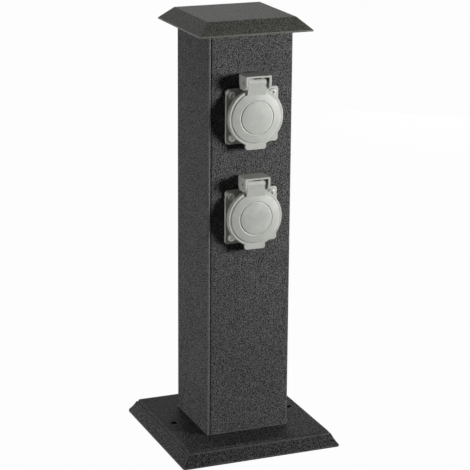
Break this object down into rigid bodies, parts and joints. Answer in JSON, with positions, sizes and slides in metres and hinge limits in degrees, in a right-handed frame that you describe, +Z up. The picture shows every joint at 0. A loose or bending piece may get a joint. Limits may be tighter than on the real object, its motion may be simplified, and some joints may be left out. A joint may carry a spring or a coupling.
{
  "type": "garden socket post",
  "caption": "Square garden post with a pyramid cap on a bevelled base, carrying round splash-proof mains sockets under sprung hinged lids.",
  "frame": {"origin": "on the ground, under the middle of the column", "axes": "+Z up along the column, +X to the right seen from the front, +Y backwards; the sockets face -Y"},
  "size_m": [0.155, 0.155, 0.4],
  "materials": {
    "column_coat": "structured powder coat",
    "base_coat": "matt powder coat",
    "socket_plastic": "satin",
    "cover_plastic": "matt",
    "gland_plastic": "matt",
    "block_plastic": "satin",
    "seal_rubber": "matt",
    "zinc_steel": "zinc plated",
    "brass": "plain",
    "line_insulation": "semi-gloss",
    "neutral_insulation": "semi-gloss",
    "earth_insulation": "semi-gloss"
  },
  "bodies": {
    "post": {"base_plate": "base_coat", "block_nuts": "zinc_steel", "block_screws": "zinc_steel", "bracket_screws": "zinc_steel", "cap": "base_coat", "cap_seal": "seal_rubber", "clamp_screws": "zinc_steel", "column": "column_coat", "earth_bond_wire": "earth_insulation", "earth_lug": "brass", "earth_nut": "zinc_steel", "earth_stud": "zinc_steel", "earth_washer": "zinc_steel", "gland_body": "gland_plastic", "gland_dome_nut": "gland_plastic", "gland_lock_nut": "gland_plastic", "gland_seal": "seal_rubber", "lower_centre_screw": "zinc_steel", "lower_contact_carrier": "socket_plastic", "lower_earth_clip": "brass", "lower_earth_wire": "earth_insulation", "lower_flange_gasket": "seal_rubber", "lower_flange_nuts": "zinc_steel", "lower_flange_screws": "zinc_steel", "lower_hinge_pin": "zinc_steel", "lower_lid_spring": "zinc_steel", "lower_line_wire": "line_insulation", "lower_neutral_wire": "neutral_insulation", "lower_pin_contacts": "brass", "lower_rear_cover": "cover_plastic", "lower_socket_frame": "socket_plastic", "lower_terminal_screws": "zinc_steel", "lower_wire_bushes": "seal_rubber", "terminal_block": "block_plastic", "terminal_bracket": "zinc_steel", "terminal_clamps": "brass", "tie_rod_nuts": "zinc_steel", "tie_rod_washers": "zinc_steel", "tie_rods": "zinc_steel", "upper_centre_screw": "zinc_steel", "upper_contact_carrier": "socket_plastic", "upper_earth_clip": "brass", "upper_earth_wire": "earth_insulation", "upper_flange_gasket": "seal_rubber", "upper_flange_nuts": "zinc_steel", "upper_flange_screws": "zinc_steel", "upper_hinge_pin": "zinc_steel", "upper_lid_spring": "zinc_steel", "upper_line_wire": "line_insulation", "upper_neutral_wire": "neutral_insulation", "upper_pin_contacts": "brass", "upper_rear_cover": "cover_plastic", "upper_socket_frame": "socket_plastic", "upper_terminal_screws": "zinc_steel", "upper_wire_bushes": "seal_rubber"},
    "upper_lid_body": {"upper_lid": "socket_plastic", "upper_lid_gasket": "seal_rubber"},
    "lower_lid_body": {"lower_lid": "socket_plastic", "lower_lid_gasket": "seal_rubber"}
  },
  "joints": [
    {"name": "upper_lid_hinge", "type": "hinge", "parent": "post", "child": "upper_lid_body", "pos_m": [0, -0.052, 0.3463], "axis": [-1, 0, 0], "range_deg": [0, 90], "stiffness_Nm_per_rad": 0.01, "springref_deg": -45.84, "deforming": ["upper_lid_spring"]},
    {"name": "lower_lid_hinge", "type": "hinge", "parent": "post", "child": "lower_lid_body", "pos_m": [0, -0.052, 0.2543], "axis": [-1, 0, 0], "range_deg": [0, 90], "stiffness_Nm_per_rad": 0.01, "springref_deg": -45.84, "deforming": ["lower_lid_spring"]}
  ]
}
